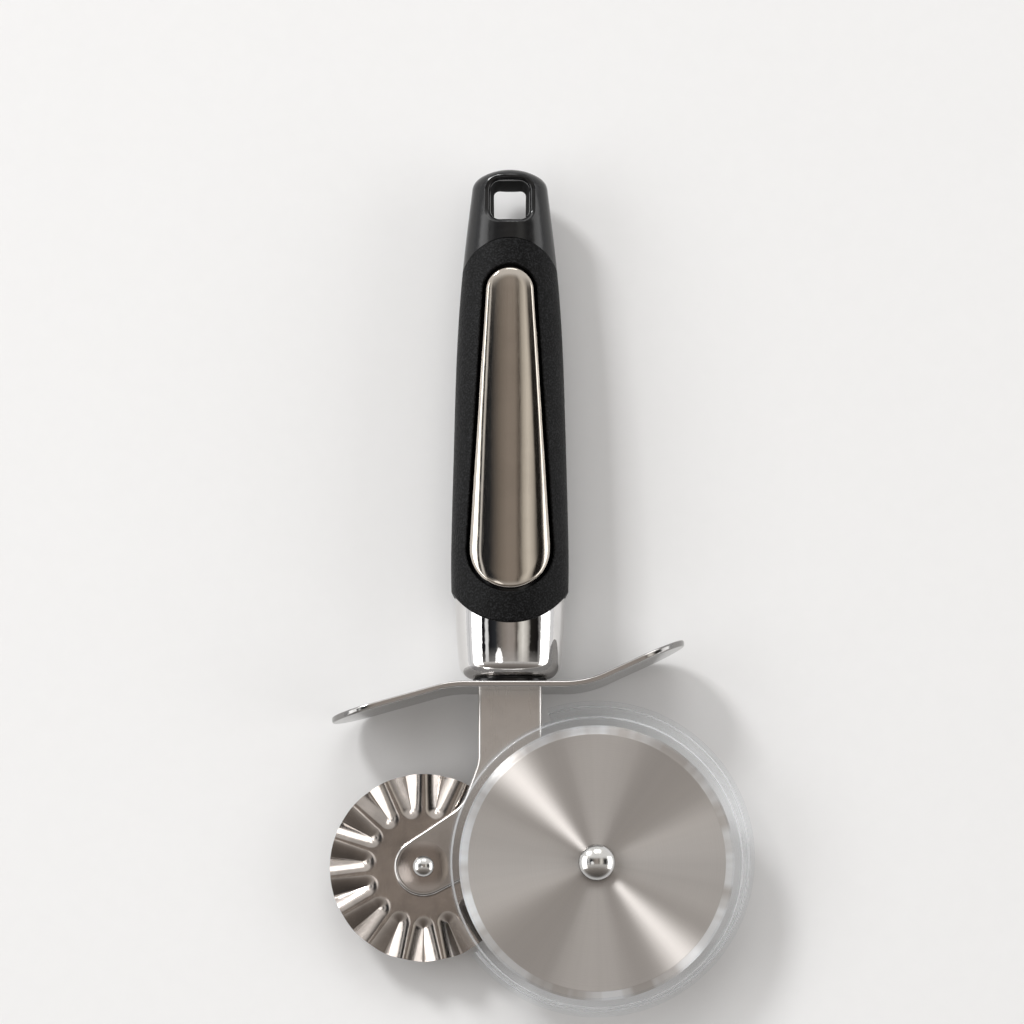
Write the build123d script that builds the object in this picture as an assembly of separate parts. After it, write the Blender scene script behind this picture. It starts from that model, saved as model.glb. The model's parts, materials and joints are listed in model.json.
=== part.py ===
from build123d import *
import math
import os

os.makedirs("parts", exist_ok=True)

# Double pizza wheel: a plain cutting wheel and a fluted pastry wheel on one forked arm.
# The tool lies on its back: +Y runs along the handle to its end, +X to the right and
# +Z out of the face. The origin is the centre of the hang hole. Millimetres throughout.

# Handle, with reaches measured along the axis from the hang hole and shares along the grip
end_reach = 7.5
arch_reach = 9.4
grip_length = 92.3
shoulder_share = 0.18
middle_share = 0.525
palm_share = 0.776
arch_radius = 12.4
smile_sag = 8.3

end_width = 17.0
end_depth = 13.6
brow_width = 21.0
brow_depth = 15.6
shoulder_width = 24.1
shoulder_depth = 17.6
middle_width = 26.6
middle_depth = 20.0
palm_width = 27.8
palm_depth = 21.0
neck_width = 26.6
neck_depth = 19.8
end_crown_radius = 17.0
end_round = 3.6
grip_wall = 1.8
grip_edge_round = 0.5
grip_window_round = 0.35

# Hang hole, a rounded square that widens from the back to the face
hole_width = 7.1
hole_height = 7.2
hole_corner = 1.2
hole_draft = 5.2
hole_lip_round = 0.9

# Polished inlay on the face, glued on a pad and located by two pegs
inlay_head_gap = 7.2
inlay_foot_gap = 8.1
inlay_head_radius = 5.7
inlay_foot_radius = 9.5
inlay_proud = 0.5
inlay_thickness = 1.2
inlay_groove = 0.75
inlay_edge_round = 0.9
pad_margin = 1.0
peg_diameter = 3.0
peg_depth = 3.5

# Collar and the black base that closes it
collar_length = 12.7
collar_step = 0.35
collar_wall = 1.6
collar_middle_share = 0.27
collar_middle_width = 25.2
collar_middle_depth = 18.4
collar_foot_width = 23.2
collar_foot_depth = 16.4
collar_foot_round = 4.0
base_flange = 1.1
base_flange_width = 17.6
base_flange_depth = 10.6
base_edge_round = 0.4
base_spigot_width = 14.2
base_spigot_depth = 6.6
base_spigot_length = 2.9

# Finger guard, a bent strip with rounded ends
guard_thickness = 1.4
guard_depth = 20.0
guard_left_bend = 14.0
guard_right_bend = 18.0
guard_left_reach = 42.1
guard_right_reach = 41.3
guard_left_drop = 7.9
guard_right_rise = 10.6
guard_bend_radius = 24.0
guard_edge_round = 0.4

# Forked arm with its tang
arm_thickness = 2.0
stem_width = 15.0
tang_width = 12.0
tang_length = 44.0
fork_drop = 17.0
fork_shoulder_drop = 27.2
fork_shoulder_width = 22.4
fork_round = 9.0
arch_round = 8.0
arch_slope = 27.0
lobe_slope = 30.0
pastry_lobe_radius = 7.0
pizza_lobe_radius = 8.0
arm_edge_round = 0.7
tang_pin_diameter = 3.0
tang_pin_recess = 0.4
tang_pin_overrun = 3.0
tang_pin_inner_margin = 6.1
tang_pin_outer_margin = 5.5

# Axles, measured from the finger guard's underside and the handle's axis
pizza_axle_offset = 20.5
pizza_axle_drop = 41.0
pastry_axle_offset = 20.4
pastry_axle_drop = 41.8

# Pizza wheel and what it turns on
pizza_diameter = 65.0
pizza_thickness = 1.0
pizza_bevel = 2.2
pizza_edge = 0.24
pizza_shank_diameter = 4.0
pizza_head_diameter = 8.6
pizza_head_height = 2.9
pizza_spacer_diameter = 12.0
pizza_spacer_thickness = 0.8
pizza_back_washer_diameter = 9.0
pizza_tail_diameter = 6.6

# Pastry wheel, a pressed disc with tapered flutes, and what it turns on
pastry_diameter = 44.4
pastry_sheet = 0.7
flute_count = 15
flute_turn = 6.0
flute_start = 11.9
flute_inner_width = 5.6
flute_inner_depth = 1.4
flute_outer_width = 8.6
flute_outer_depth = 2.0
pastry_shank_diameter = 3.0
pastry_head_diameter = 5.0
pastry_head_height = 1.8
pastry_front_washer_diameter = 11.9
pastry_spacer_diameter = 9.0
pastry_spacer_thickness = 1.2
pastry_back_washer_diameter = 8.0
pastry_tail_diameter = 5.0
washer_thickness = 0.5
tail_height = 1.0

# Clear blade guard, a drafted ring that drops over the pizza wheel's edge from the front
cap_film = 0.6
cap_lip_overlap = 0.5
cap_front_margin = 2.1
cap_wall_lean = 1.5
cap_flange_run = 1.5
cap_back_shift = 1.5
cap_depth = 7.6
cap_notch_margin = 4.0

# Clearances, and the tolerance for edges on one level
fixed_fit = 0.05
running_fit = 0.06
axial_play = 0.1
slot_fit = 0.1
cap_play = 0.3
same_level = 0.001

# Reaches and levels that follow from the sizes above
shoulder_reach = arch_reach + shoulder_share * grip_length
middle_reach = arch_reach + middle_share * grip_length
palm_reach = arch_reach + palm_share * grip_length
smile_reach = arch_reach + grip_length
collar_middle_reach = smile_reach + collar_middle_share * collar_length
collar_reach = smile_reach + collar_length
core_reach = collar_reach - base_spigot_length
guard_reach = collar_reach + base_flange
stem_reach = guard_reach + guard_thickness
inlay_head_reach = arch_reach + inlay_head_gap + inlay_head_radius
inlay_foot_reach = smile_reach - inlay_foot_gap - inlay_foot_radius
tang_reach = stem_reach - tang_length
pizza_x, pizza_y = pizza_axle_offset, -(stem_reach + pizza_axle_drop)
pastry_x, pastry_y = -pastry_axle_offset, -(stem_reach + pastry_axle_drop)
arm_front = arm_thickness / 2
arm_back = -arm_front
pizza_radius = pizza_diameter / 2
pizza_back = arm_front + pizza_spacer_thickness + axial_play
pizza_front = pizza_back + pizza_thickness
pastry_radius = pastry_diameter / 2
pastry_front = arm_back - pastry_spacer_thickness - axial_play
pastry_back = pastry_front - pastry_sheet
cap_front_radius = pizza_radius + cap_front_margin
cap_back_radius = cap_front_radius + cap_wall_lean
cap_flange_radius = cap_back_radius + cap_flange_run
smile_radius = ((palm_width / 2) ** 2 + smile_sag ** 2) / (2 * smile_sag)
beyond = 2 * palm_width

handle_stations = [
    (-end_reach, end_width, end_depth),
    (arch_reach, brow_width, brow_depth),
    (shoulder_reach, shoulder_width, shoulder_depth),
    (middle_reach, middle_width, middle_depth),
    (palm_reach, palm_width, palm_depth),
    (smile_reach, neck_width, neck_depth),
]
collar_stations = [
    (smile_reach - smile_sag, neck_width - 2 * collar_step, neck_depth - 2 * collar_step),
    (collar_middle_reach, collar_middle_width, collar_middle_depth),
    (collar_reach, collar_foot_width, collar_foot_depth),
]


def oval_loft(stations, inset=0.0):
    """Smooth solid through oval cross-sections, each (reach, width, depth) drawn in by inset."""
    sections = []
    for reach, width, depth in stations:
        plane = Plane(origin=(0, -reach, 0), x_dir=(1, 0, 0), z_dir=(0, -1, 0))
        sections.append(plane * Ellipse(width / 2 - inset, depth / 2 - inset))
    return loft(sections)


def through_face(outline, low=-beyond, high=beyond):
    """Prism of a flat outline between two levels along Z."""
    return extrude(Pos(0, 0, low) * outline, high - low)


def oval_block(width, depth, start_reach, stop_reach):
    """Straight oval block along the handle's axis."""
    plane = Plane(origin=(0, -start_reach, 0), x_dir=(1, 0, 0), z_dir=(0, -1, 0))
    return extrude(plane * Ellipse(width / 2, depth / 2), stop_reach - start_reach)


def disc(x, y, diameter, low, high, hole=0.0):
    """Round plate on an axle between two levels, with an optional bore."""
    outline = Circle(diameter / 2)
    if hole:
        outline -= Circle(hole / 2)
    return Pos(x, y, low) * extrude(outline, high - low)


def edges_at_level(solid, level):
    """Edges that lie whole on one level."""
    return solid.edges().filter_by(lambda edge: abs(edge.bounding_box().min.Z - level) < same_level
                                   and abs(edge.bounding_box().max.Z - level) < same_level)


def above_arch():
    """Space above the arched line where the hard handle end meets the soft grip."""
    foot = -(arch_reach + arch_radius)
    block = Pos(0, foot + beyond) * Rectangle(2 * beyond, 2 * beyond)
    return through_face(block - Pos(0, foot) * Circle(arch_radius))


def below_smile():
    """Space below the smile-shaped line where the soft grip meets the collar."""
    top = -(smile_reach - smile_radius)
    block = Pos(0, top - beyond) * Rectangle(2 * beyond, 2 * beyond)
    return through_face(block - Pos(0, top) * Circle(smile_radius))


def inlay_outline(grow=0.0):
    """Teardrop hull of a small upper and a large lower circle."""
    head = Pos(0, -inlay_head_reach) * Circle(inlay_head_radius + grow)
    foot = Pos(0, -inlay_foot_reach) * Circle(inlay_foot_radius + grow)
    return make_hull(head.edges() + foot.edges())


def inlay_pegs(grow=0.0):
    """Two locating pegs on the centres of the inlay's end circles, from the core into the plate."""
    ceiling = oval_loft(handle_stations, inlay_thickness / 2 - inlay_proud)
    floor = oval_loft(handle_stations, grip_wall + peg_depth + 2 * grow)
    pegs = []
    for reach in (inlay_head_reach, inlay_foot_reach):
        peg = disc(0, -reach, peg_diameter + 2 * grow, 0, beyond)
        pegs.append((peg & ceiling) - floor)
    return pegs


def tang_slot(start_reach, stop_reach):
    """Straight space with room for the arm's tang."""
    width = tang_width + 2 * slot_fit
    thickness = arm_thickness + 2 * slot_fit
    return Pos(0, -(start_reach + stop_reach) / 2, 0) * Box(width, stop_reach - start_reach, thickness)


def tang_pin_bars(grow=0.0):
    """Cross pins driven through the tang from behind, sunk a little below the core's surface."""
    top = arm_front + tang_pin_overrun + grow
    inner = disc(0, -(tang_reach + tang_pin_inner_margin), tang_pin_diameter + 2 * grow, -beyond, top)
    outer = disc(0, -(core_reach - tang_pin_outer_margin), tang_pin_diameter + 2 * grow, -beyond, top)
    return [inner & oval_loft(handle_stations, grip_wall + tang_pin_recess),
            outer & oval_loft(collar_stations, collar_wall + tang_pin_recess)]


def above_crown():
    """Space beyond the handle's crowned end."""
    middle = end_reach - end_crown_radius
    block = Pos(0, middle + beyond) * Rectangle(2 * beyond, 2 * beyond)
    return through_face(block - Pos(0, middle) * Circle(end_crown_radius))


def hang_hole():
    """Rounded square opening that widens from the back to the face."""
    outline = Pos(0, 0, -brow_depth / 2) * RectangleRounded(hole_width, hole_height, hole_corner)
    return extrude(outline, brow_depth, taper=-hole_draft)


def core_blank():
    """Hard handle before its inner holes: the handle end and a core inside grip and collar."""
    handle_end = oval_loft(handle_stations) - above_crown()
    crown = handle_end.faces().sort_by(Axis.Y)[-1]
    handle_end = fillet(crown.edges(), end_round) & above_arch()
    handle_end -= hang_hole()
    lip = handle_end.edges().filter_by(
        lambda edge: abs(edge.center().Z) > brow_depth / 3 and abs(edge.center().Y) < hole_height)
    handle_end = fillet(lip, hole_lip_round)
    stem = oval_loft(handle_stations, grip_wall) - above_arch()
    foot = oval_loft(collar_stations, collar_wall) - oval_block(beyond, beyond, core_reach, stem_reach)
    return handle_end + stem + foot


def make_core(blank):
    """Hard handle with its tang slot, pin holes and peg holes."""
    core = blank - tang_slot(tang_reach - slot_fit, core_reach)
    for hole in tang_pin_bars(fixed_fit) + inlay_pegs(fixed_fit):
        core -= hole
    return core


def make_grip(blank):
    """Soft sleeve over the core, cut away round the inlay."""
    sleeve = oval_loft(handle_stations) - above_arch() - below_smile()
    ends = sleeve.faces().filter_by(GeomType.CYLINDER).edges()
    sleeve = fillet(ends, grip_edge_round)
    sleeve -= through_face(inlay_outline(inlay_groove), low=0)
    window = sleeve.edges().filter_by(
        lambda edge: edge.bounding_box().min.Z > 0 and abs(edge.center().X) < middle_width / 2
        and -smile_reach < edge.bounding_box().min.Y and edge.bounding_box().max.Y < -arch_reach)
    sleeve = fillet(window, grip_window_round)
    return sleeve - blank


def make_inlay():
    """Domed polished plate with its locating pegs."""
    plate = oval_loft(handle_stations, -inlay_proud) & through_face(inlay_outline(), low=0)
    plate -= oval_loft(handle_stations, inlay_thickness - inlay_proud)
    rim = plate.faces().sort_by(Axis.Z)[-1].outer_wire().edges()
    plate = fillet(rim, inlay_edge_round)
    for peg in inlay_pegs():
        plate += peg
    return plate


def make_pad(blank):
    """Glue pad between the inlay and the core, with room for the pegs."""
    pad = oval_loft(handle_stations, inlay_thickness - inlay_proud)
    pad &= through_face(inlay_outline(-pad_margin), low=0)
    pad -= blank
    for peg in inlay_pegs(fixed_fit):
        pad -= peg
    return pad


def make_collar(blank):
    """Bright collar between the grip and the finger guard, open below for the base's spigot."""
    collar = oval_loft(collar_stations)
    foot_edge = collar.edges().sort_by(Axis.Y)[0]
    collar = fillet(foot_edge, collar_foot_round) & below_smile()
    collar -= blank
    opening = oval_block(base_spigot_width + 2 * fixed_fit, base_spigot_depth + 2 * fixed_fit,
                         core_reach, collar_reach)
    return collar - opening


def make_base():
    """Black base that plugs the collar and seats on the finger guard."""
    spigot = oval_block(base_spigot_width, base_spigot_depth, core_reach, collar_reach)
    flange = oval_block(base_flange_width, base_flange_depth, collar_reach, guard_reach)
    flange = fillet(flange.edges().sort_by(Axis.Y)[0], base_edge_round)
    return spigot + flange - tang_slot(core_reach, guard_reach)


def make_finger_guard():
    """Strip bent down on the left and up on the right, with rounded ends and a slot for the tang."""
    middle = -(guard_reach + guard_thickness / 2)
    path = FilletPolyline((-guard_left_reach, middle - guard_left_drop), (-guard_left_bend, middle),
                          (guard_right_bend, middle), (guard_right_reach, middle + guard_right_rise),
                          radius=guard_bend_radius)
    strip = extrude(trace(path, guard_thickness), guard_depth / 2, both=True)
    length = guard_left_reach + guard_right_reach
    plan = RectangleRounded(length, guard_depth, guard_depth / 2 - axial_play)
    plan_x = (guard_right_reach - guard_left_reach) / 2
    strip &= extrude(Plane.XZ * Pos(plan_x, 0) * plan, 2 * beyond + guard_reach)
    strip = fillet(strip.edges(), guard_edge_round)
    return strip - tang_slot(guard_reach - guard_thickness, stem_reach + guard_thickness)


def lobe_tangent(x, y, radius, angle):
    """Point on a lobe's edge at an angle from +X."""
    return (x + radius * math.cos(math.radians(angle)), y + radius * math.sin(math.radians(angle)))


def make_arm():
    """Forked plate: tang, stem and two branches that end in round lobes on the axles."""
    stem, tang = stem_width / 2, tang_width / 2
    fork_y = -(stem_reach + fork_drop)
    shoulder_x = fork_shoulder_width / 2
    shoulder_y = -(stem_reach + fork_shoulder_drop)
    left_top = lobe_tangent(pastry_x, pastry_y, pastry_lobe_radius, 90 + lobe_slope)
    right_top = lobe_tangent(pizza_x, pizza_y, pizza_lobe_radius, 90 - lobe_slope)
    left_foot = lobe_tangent(pastry_x, pastry_y, pastry_lobe_radius, 270 + arch_slope)
    right_foot = lobe_tangent(pizza_x, pizza_y, pizza_lobe_radius, 270 - arch_slope)
    rise = (right_foot[0] - left_foot[0]) / 2 * math.tan(math.radians(arch_slope))
    apex = ((left_foot[0] + right_foot[0]) / 2, (left_foot[1] + right_foot[1]) / 2 + rise)
    outline = make_face(Polyline(
        (-stem, -stem_reach), (-stem, fork_y), (-shoulder_x, shoulder_y), left_top,
        (pastry_x, pastry_y), left_foot, apex, right_foot, (pizza_x, pizza_y), right_top,
        (shoulder_x, shoulder_y), (stem, fork_y), (stem, -stem_reach), close=True))
    outline += Pos(pastry_x, pastry_y) * Circle(pastry_lobe_radius)
    outline += Pos(pizza_x, pizza_y) * Circle(pizza_lobe_radius)
    for point, radius in (((-stem, fork_y), fork_round), ((stem, fork_y), fork_round),
                          ((-shoulder_x, shoulder_y), fork_round), ((shoulder_x, shoulder_y), fork_round),
                          (apex, arch_round)):
        corner = outline.vertices().sort_by_distance(Vector(*point))[0]
        outline = fillet(corner, radius)
    plate = through_face(outline, arm_back, arm_front)
    tang_bar = Pos(0, -stem_reach + tang_length / 2, 0) * Box(tang_width, tang_length, arm_thickness)
    rim = edges_at_level(plate, arm_front) + edges_at_level(plate, arm_back)
    rim = rim.filter_by(lambda edge: edge.center().Y < -stem_reach - same_level)
    plate = fillet(rim, arm_edge_round) + tang_bar
    plate -= disc(pizza_x, pizza_y, pizza_shank_diameter + 2 * fixed_fit, arm_back, arm_front)
    plate -= disc(pastry_x, pastry_y, pastry_shank_diameter + 2 * fixed_fit, arm_back, arm_front)
    for pin in tang_pin_bars(fixed_fit):
        plate -= pin
    return plate


def make_rivet(x, y, shank, head, head_height, head_level, tail, tail_level):
    """Rivet along Z with a domed head in front and a low domed tail behind."""
    tail_low = tail_level - tail_height
    outline = make_face(
        Polyline((0, tail_low), (0, head_level + head_height))
        + ThreePointArc((0, head_level + head_height),
                        dome_point(head / 2, head_height, head_level), (head / 2, head_level))
        + Polyline((head / 2, head_level), (shank / 2, head_level), (shank / 2, tail_level),
                   (tail / 2, tail_level))
        + ThreePointArc((tail / 2, tail_level), dome_point(tail / 2, -tail_height, tail_level),
                        (0, tail_low)))
    return Pos(x, y, 0) * revolve(Plane.XZ * outline, Axis.Z)


def dome_point(half_width, height, level):
    """Point half way along the arc of a dome with its rim on a level."""
    radius = (half_width ** 2 + height ** 2) / (2 * abs(height))
    centre = abs(height) - radius
    half_angle = math.asin(min(1.0, half_width / radius)) / 2
    rise = centre + radius * math.cos(half_angle)
    return (radius * math.sin(half_angle), level + math.copysign(rise, height))


def make_pizza_wheel():
    """Flat disc ground to a bevel on both faces."""
    bore = pizza_shank_diameter / 2 + running_fit
    flat = pizza_radius - pizza_bevel
    half, edge = pizza_thickness / 2, pizza_edge / 2
    outline = make_face(Polyline((bore, -half), (flat, -half), (pizza_radius, -edge), (pizza_radius, edge),
                                 (flat, half), (bore, half), close=True))
    return Pos(pizza_x, pizza_y, pizza_back + half) * revolve(Plane.XZ * outline, Axis.Z)


def flute_solid(grow):
    """Tapered round groove along +X: a leaning cone with a ball at its inner end."""
    inner_half, outer_half = flute_inner_width / 2, flute_outer_width / 2
    inner_radius = (inner_half ** 2 + flute_inner_depth ** 2) / (2 * flute_inner_depth)
    outer_radius = (outer_half ** 2 + flute_outer_depth ** 2) / (2 * flute_outer_depth)
    inner_x = flute_start + inner_half
    inner_centre = inner_radius - flute_inner_depth
    outer_centre = outer_radius - flute_outer_depth
    inner_plane = Plane(origin=(inner_x, 0, inner_centre), z_dir=(1, 0, 0))
    outer_plane = Plane(origin=(pastry_radius, 0, outer_centre), z_dir=(1, 0, 0))
    groove = loft([inner_plane * Circle(inner_radius + grow), outer_plane * Circle(outer_radius + grow)],
                  ruled=True)
    return groove + Pos(inner_x, 0, inner_centre) * Sphere(inner_radius + grow)


def make_pastry_wheel():
    """Sheet disc with flutes pressed in from the face, so that they stand out behind."""
    sheet = extrude(Circle(pastry_radius), -pastry_sheet)
    below = extrude(Circle(2 * pastry_radius), -flute_outer_depth - 2 * pastry_sheet)
    groove = flute_solid(0)
    ridge = flute_solid(pastry_sheet) & below
    turns = [Rot(0, 0, flute_turn + 360 * index / flute_count) for index in range(flute_count)]
    wheel = sheet + [turn * ridge for turn in turns]
    wheel -= [turn * groove for turn in turns]
    wheel &= extrude(Circle(pastry_radius), 2 * pastry_radius, both=True)
    wheel -= extrude(Circle(pastry_shank_diameter / 2 + running_fit), pastry_radius, both=True)
    return Pos(pastry_x, pastry_y, pastry_front) * wheel


def make_blade_guard():
    """Clear ring: a lip in front of the blade, a drafted wall and a flange behind, cut out for the arm."""
    front = pizza_front + cap_play + cap_film
    back = front - cap_depth
    outer = loft([Pos(0, 0, front) * Circle(cap_front_radius),
                  Pos(0, cap_back_shift, back) * Circle(cap_back_radius)], ruled=True)
    inner = loft([Pos(0, 0, front - cap_film) * Circle(cap_front_radius - cap_film),
                  Pos(0, cap_back_shift, back) * Circle(cap_back_radius - cap_film)], ruled=True)
    flange = Pos(0, cap_back_shift, back) * extrude(Circle(cap_flange_radius), cap_film)
    ring = outer + flange - inner
    ring -= Pos(0, 0, back) * extrude(Circle(pizza_radius - cap_lip_overlap), 2 * cap_depth)
    start = math.degrees(math.acos((stem_width / 2 - pizza_x) / cap_front_radius)) - cap_notch_margin
    gap_x, gap_y = pastry_x - pizza_x, pastry_y - pizza_y
    gap = math.hypot(gap_x, gap_y)
    reach = cap_flange_radius
    spread = math.acos((gap ** 2 + reach ** 2 - pastry_radius ** 2) / (2 * gap * reach))
    stop = math.degrees(math.atan2(gap_y, gap_x) % math.tau + spread) + cap_notch_margin
    corners = [(2 * reach * math.cos(math.radians(angle)), 2 * reach * math.sin(math.radians(angle)))
               for angle in (start, (start + stop) / 2, stop)]
    notch_top = arm_front + washer_thickness + cap_play
    notch = through_face(make_face(Polyline((0, 0), *corners, close=True)), high=notch_top)
    return Pos(pizza_x, pizza_y, 0) * (ring - notch)


blank = core_blank()
pizza_back_washer_level = arm_back - washer_thickness
pastry_back_washer_level = pastry_back - axial_play - washer_thickness
nodes = {
    "handle_core": make_core(blank),
    "grip_sleeve": make_grip(blank),
    "inlay_plate": make_inlay(),
    "inlay_pad": make_pad(blank),
    "collar": make_collar(blank),
    "collar_base": make_base(),
    "tang_pins": Compound(tang_pin_bars()),
    "finger_guard": make_finger_guard(),
    "arm_plate": make_arm(),
    "pizza_wheel": make_pizza_wheel(),
    "pizza_rivet": make_rivet(pizza_x, pizza_y, pizza_shank_diameter, pizza_head_diameter,
                              pizza_head_height, pizza_front + axial_play, pizza_tail_diameter,
                              pizza_back_washer_level),
    "pizza_spacer": disc(pizza_x, pizza_y, pizza_spacer_diameter, arm_front,
                         arm_front + pizza_spacer_thickness, pizza_shank_diameter + 2 * fixed_fit),
    "pizza_back_washer": disc(pizza_x, pizza_y, pizza_back_washer_diameter, pizza_back_washer_level,
                              arm_back, pizza_shank_diameter + 2 * fixed_fit),
    "pastry_wheel": make_pastry_wheel(),
    "pastry_rivet": make_rivet(pastry_x, pastry_y, pastry_shank_diameter, pastry_head_diameter,
                               pastry_head_height, arm_front + washer_thickness, pastry_tail_diameter,
                               pastry_back_washer_level),
    "pastry_front_washer": disc(pastry_x, pastry_y, pastry_front_washer_diameter, arm_front,
                                arm_front + washer_thickness, pastry_shank_diameter + 2 * fixed_fit),
    "pastry_spacer": disc(pastry_x, pastry_y, pastry_spacer_diameter, arm_back - pastry_spacer_thickness,
                          arm_back, pastry_shank_diameter + 2 * fixed_fit),
    "pastry_back_washer": disc(pastry_x, pastry_y, pastry_back_washer_diameter, pastry_back_washer_level,
                               pastry_back - axial_play, pastry_shank_diameter + 2 * fixed_fit),
    "blade_guard": make_blade_guard(),
}
for name, shape in nodes.items():
    export_step(shape, f"parts/{name}.step")
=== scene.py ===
"""Looks and studio for a double pizza wheel: a cutting wheel and a pastry wheel on one forked arm."""

import json
import math

import bmesh
import bpy
import numpy
from bpy.props import FloatProperty, FloatVectorProperty, IntProperty, PointerProperty
from bpy.types import Operator, Panel, PropertyGroup
from mathutils import Matrix, Vector

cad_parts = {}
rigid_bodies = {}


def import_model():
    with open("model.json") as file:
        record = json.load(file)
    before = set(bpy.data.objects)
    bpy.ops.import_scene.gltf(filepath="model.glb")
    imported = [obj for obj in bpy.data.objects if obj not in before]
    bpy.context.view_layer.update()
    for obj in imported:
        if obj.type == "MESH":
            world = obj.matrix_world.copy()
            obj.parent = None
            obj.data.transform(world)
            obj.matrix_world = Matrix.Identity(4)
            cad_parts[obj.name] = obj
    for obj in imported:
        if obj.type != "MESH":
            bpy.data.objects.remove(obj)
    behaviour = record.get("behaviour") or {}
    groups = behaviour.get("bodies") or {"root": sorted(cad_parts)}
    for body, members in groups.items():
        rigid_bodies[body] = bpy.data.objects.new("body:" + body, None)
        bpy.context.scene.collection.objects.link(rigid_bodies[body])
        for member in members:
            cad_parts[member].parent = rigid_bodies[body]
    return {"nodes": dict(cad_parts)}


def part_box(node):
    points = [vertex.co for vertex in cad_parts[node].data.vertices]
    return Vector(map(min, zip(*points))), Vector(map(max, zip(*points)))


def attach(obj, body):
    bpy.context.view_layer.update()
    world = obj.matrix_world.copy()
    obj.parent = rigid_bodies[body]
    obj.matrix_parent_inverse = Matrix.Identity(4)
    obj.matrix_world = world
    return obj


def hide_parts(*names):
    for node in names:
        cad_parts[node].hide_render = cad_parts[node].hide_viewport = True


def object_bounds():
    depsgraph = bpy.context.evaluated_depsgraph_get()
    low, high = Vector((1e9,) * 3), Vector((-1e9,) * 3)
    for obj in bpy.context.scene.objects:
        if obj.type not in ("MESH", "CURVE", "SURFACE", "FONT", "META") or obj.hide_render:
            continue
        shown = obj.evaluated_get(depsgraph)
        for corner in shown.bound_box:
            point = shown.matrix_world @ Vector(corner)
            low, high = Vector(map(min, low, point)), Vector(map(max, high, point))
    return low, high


bl_info = {
    "name": "Double Pizza Wheel",
    "version": (1, 0, 0),
    "blender": (4, 5, 0),
    "location": "View3D > Sidebar > Pizza Wheel",
    "description": "Dresses the solids of a double pizza wheel and sets a studio round it",
    "category": "Object",
}

for leftover in list(bpy.data.objects):
    bpy.data.objects.remove(leftover)

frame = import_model()
nodes_by_name = frame["nodes"]
cad_low, cad_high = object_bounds()
pizza_low, pizza_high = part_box("pizza_wheel")
pastry_low, pastry_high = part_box("pastry_wheel")
guard_low, guard_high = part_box("blade_guard")
inlay_low, inlay_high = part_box("inlay_plate")
finger_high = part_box("finger_guard")[1]
washer_low, washer_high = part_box("pastry_front_washer")
pizza_axle = (pizza_low + pizza_high) / 2
pastry_axle = (pastry_low + pastry_high) / 2
pizza_radius = (pizza_high.x - pizza_low.x) / 2
pastry_radius = (pastry_high.x - pastry_low.x) / 2


def colour_property(name, description, default):
    """Colour that a user may change, written as linear red, green and blue."""
    return FloatVectorProperty(name=name, description=description, subtype="COLOR", size=3,
                               min=0.0, max=1.0, default=default)


def length_property(name, description, default):
    """Length that a user may change, in metres."""
    return FloatProperty(name=name, description=description, unit="LENGTH", subtype="DISTANCE",
                         min=0.0, precision=5, default=default)


def angle_property(name, description, degrees):
    """Angle that a user may change, given in degrees."""
    return FloatProperty(name=name, description=description, subtype="ANGLE", default=math.radians(degrees))


def power_property(name, description, default):
    """Lamp power that a user may change, in watts."""
    return FloatProperty(name=name, description=description, unit="POWER", min=0.0, default=default)


class HandleSettings(PropertyGroup):
    """Colours and grain of the handle's plastics."""

    end_colour: colour_property("End colour", "Hard plastic of the handle end", (0.004, 0.004, 0.0045))
    grip_colour: colour_property("Grip colour", "Soft rubber of the grip", (0.0040, 0.0041, 0.0044))
    base_colour: colour_property("Base colour", "Black base under the collar", (0.010, 0.010, 0.010))
    grip_grain: length_property("Grip grain", "Size of one grain in the grip's texture", 0.00042)


class InlaySettings(PropertyGroup):
    """Sizes of the pillowed inlay."""

    head_radius: length_property("Head radius", "Radius of the inlay's upper end", 0.0057)
    border: length_property("Border", "Width over which the face falls towards its outline", 0.0026)
    border_fall: length_property("Border fall", "How far the face falls over the border", 0.00025)
    rim: length_property("Rim", "Width of the rolled rim", 0.0006)
    rim_fall: length_property("Rim fall", "How far the rim rolls down", 0.0004)
    ease: FloatProperty(name="Ease", description="How much flatter the face is than the handle, per metre",
                        min=0.0, default=7.0)
    sheet: length_property("Sheet", "Thickness of the plate", 0.0006)


class SteelSettings(PropertyGroup):
    """Colours of the steels and the spacing of their brush lines."""

    mirror_colour: colour_property("Inlay colour", "Mirror polish of the inlay", (0.56, 0.51, 0.45))
    chrome_colour: colour_property("Collar colour", "Bright plating of the collar", (0.72, 0.71, 0.70))
    satin_colour: colour_property("Arm colour", "Satin steel of the arm", (0.73, 0.705, 0.68))
    guard_colour: colour_property("Finger guard colour", "Polished strip", (0.62, 0.605, 0.59))
    wheel_colour: colour_property("Pizza wheel colour", "Turned steel", (0.62, 0.59, 0.565))
    pastry_colour: colour_property("Pastry wheel colour", "Pressed steel", (0.50, 0.455, 0.42))
    washer_colour: colour_property("Washer colour", "Washer under the pastry rivet", (0.42, 0.375, 0.345))
    rivet_colour: colour_property("Rivet colour", "Polished rivets", (0.70, 0.69, 0.67))
    brush_spacing: length_property("Brush spacing", "Distance between brush lines", 0.00022)


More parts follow.
